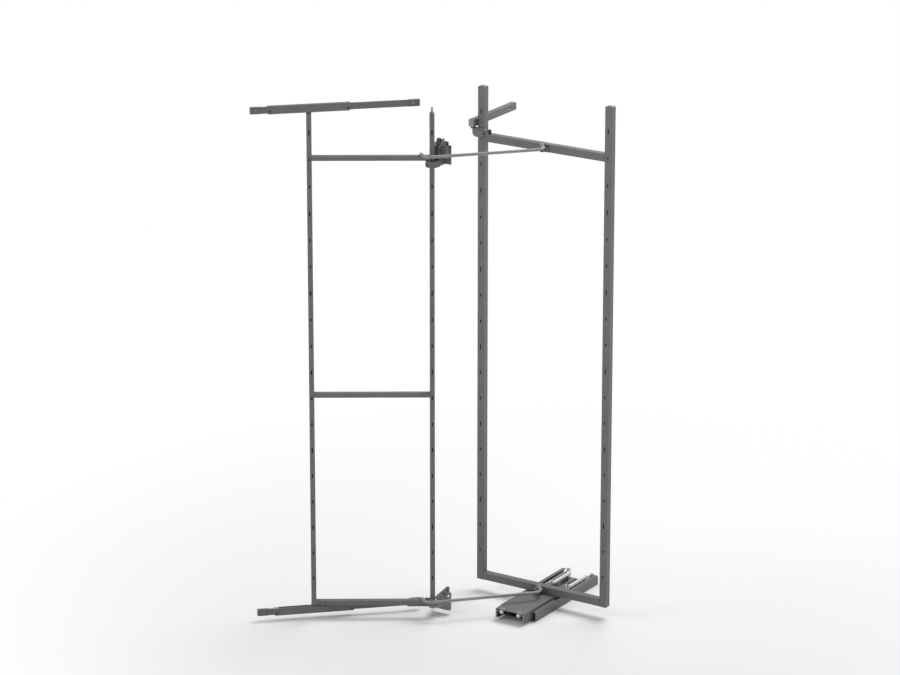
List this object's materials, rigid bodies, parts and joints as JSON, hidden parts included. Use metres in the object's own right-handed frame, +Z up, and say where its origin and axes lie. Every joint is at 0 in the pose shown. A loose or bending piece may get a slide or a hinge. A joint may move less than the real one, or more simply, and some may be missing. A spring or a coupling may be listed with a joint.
{
  "type": "pull out pantry frame",
  "caption": "Tall larder frame set: a hinged slotted door frame, linked by rods, draws a slotted rear frame out on a floor runner; rails above and below carry the door.",
  "frame": {"origin": "middle of the runner's four floor screws, on the runner's underside", "axes": "+Z up from the cabinet floor, +Y into the cabinet's depth, +X to the right across its front; the door frame stands open at the front left"},
  "size_m": [0.9509, 0.8787, 1.7268],
  "materials": {
    "powder_coat": "satin anthracite powder coat",
    "cast_housing": "matt anthracite cast zinc",
    "zinc_steel": "bright zinc plate",
    "black_plastic": "moulded matt",
    "grey_plastic": "moulded matt",
    "white_plastic": "moulded satin"
  },
  "bodies": {
    "cabinet_fixings": {"runner_base_tray": "powder_coat", "left_slide_bracket": "zinc_steel", "right_slide_bracket": "zinc_steel", "left_fixed_slide": "zinc_steel", "right_fixed_slide": "zinc_steel", "left_damper": "white_plastic", "right_damper": "white_plastic", "damper_saddles": "white_plastic", "damper_catches": "zinc_steel", "slide_end_caps": "white_plastic", "lower_wall_plate": "powder_coat", "lower_pivot_arm": "powder_coat", "lower_pivot_pin": "zinc_steel", "pivot_thrust_washer": "zinc_steel", "upper_wall_plate": "powder_coat", "upper_bearing_block": "cast_housing", "top_guide_rail": "powder_coat"},
    "door_frame": {"door_pivot_upright": "powder_coat", "door_outer_upright": "powder_coat", "door_bottom_bar": "powder_coat", "door_middle_bar": "powder_coat", "door_crossbar": "powder_coat", "outer_upright_top_plug": "black_plastic", "outer_upright_bottom_plug": "black_plastic", "pivot_upright_top_plug": "black_plastic", "pivot_upright_top_pin": "zinc_steel", "pivot_foot": "powder_coat", "pivot_upright_bush": "black_plastic", "rod_bushes": "black_plastic"},
    "rear_frame": {"rear_left_upright": "powder_coat", "rear_right_upright": "powder_coat", "rear_bottom_bar": "powder_coat", "rear_crossbar": "powder_coat", "rear_upright_caps": "black_plastic", "lower_rod_lug": "powder_coat", "upper_rod_lug": "powder_coat", "rod_lug_pins": "black_plastic", "runner_cover": "powder_coat", "left_moving_slide": "zinc_steel", "right_moving_slide": "zinc_steel", "damper_rod_plate": "zinc_steel", "left_damper_rod": "zinc_steel", "right_damper_rod": "zinc_steel", "top_guide_bracket": "powder_coat", "guide_roller_pin": "zinc_steel"},
    "ball_cages": {"slide_ball_cages": "zinc_steel"},
    "guide_roller": {"guide_roller": "black_plastic"},
    "upper_rod": {"upper_link_rod": "powder_coat"},
    "lower_rod": {"lower_link_rod": "powder_coat"},
    "top_carriage": {"top_carriage": "powder_coat", "top_carriage_glides": "white_plastic"},
    "bottom_carriage": {"bottom_carriage": "powder_coat", "bottom_carriage_glides": "white_plastic"},
    "top_rail": {"top_door_rail": "powder_coat", "top_door_rail_blocks": "grey_plastic"},
    "bottom_rail": {"bottom_door_rail": "powder_coat", "bottom_door_rail_blocks": "grey_plastic"}
  },
  "joints": [
    {"name": "door_frame_swing", "type": "hinge", "parent": "cabinet_fixings", "child": "door_frame", "pos_m": [-0.2405, -0.339, 0.04], "axis": [0, 0, 1], "range_deg": [0, 147]},
    {"name": "rear_frame_slide", "type": "slide", "parent": "cabinet_fixings", "child": "rear_frame", "axis": [0, 1, 0], "range_m": [0, 0.069]},
    {"name": "ball_cage_roll", "type": "slide", "parent": "cabinet_fixings", "child": "ball_cages", "axis": [0, 1, 0], "range_m": [0, 0.03451]},
    {"name": "guide_roller_spin", "type": "hinge", "parent": "rear_frame", "child": "guide_roller", "pos_m": [-0.259, -0.069, 1.598], "axis": [0, 0, 1], "continuous": true},
    {"name": "upper_rod_pivot", "type": "hinge", "parent": "door_frame", "child": "upper_rod", "pos_m": [-0.27027, -0.35834, 1.565], "axis": [0, 0, 1], "range_deg": [-135.08, 0]},
    {"name": "lower_rod_pivot", "type": "hinge", "parent": "door_frame", "child": "lower_rod", "pos_m": [-0.27027, -0.35834, 0.066], "axis": [0, 0, 1], "range_deg": [-135.08, 0]},
    {"name": "top_carriage_swivel", "type": "hinge", "parent": "door_frame", "child": "top_carriage", "pos_m": [-0.56423, -0.54923, 1.7], "axis": [0, 0, 1], "range_deg": [-10.61, 0]},
    {"name": "top_rail_slide", "type": "slide", "parent": "top_carriage", "child": "top_rail", "axis": [0.7242, 0.6896, 0], "range_m": [0, 0.011]},
    {"name": "bottom_carriage_swivel", "type": "hinge", "parent": "door_frame", "child": "bottom_carriage", "pos_m": [-0.56423, -0.54923, 0.043], "axis": [0, 0, 1], "range_deg": [-10.61, 0]},
    {"name": "bottom_rail_slide", "type": "slide", "parent": "bottom_carriage", "child": "bottom_rail", "axis": [0.7242, 0.6896, 0], "range_m": [0, 0.011]}
  ],
  "couplings": [
    {"joint": "rear_frame_slide", "follows": "door_frame_swing", "m_per_rad": 0.026892},
    {"joint": "ball_cage_roll", "follows": "door_frame_swing", "m_per_rad": 0.013446},
    {"joint": "upper_rod_pivot", "follows": "door_frame_swing", "ratio": -0.9188},
    {"joint": "lower_rod_pivot", "follows": "door_frame_swing", "ratio": -0.9188},
    {"joint": "top_carriage_swivel", "follows": "door_frame_swing", "ratio": -0.072109},
    {"joint": "top_rail_slide", "follows": "door_frame_swing", "m_per_rad": 0.004287},
    {"joint": "bottom_carriage_swivel", "follows": "door_frame_swing", "ratio": -0.072109},
    {"joint": "bottom_rail_slide", "follows": "door_frame_swing", "m_per_rad": 0.004287}
  ]
}
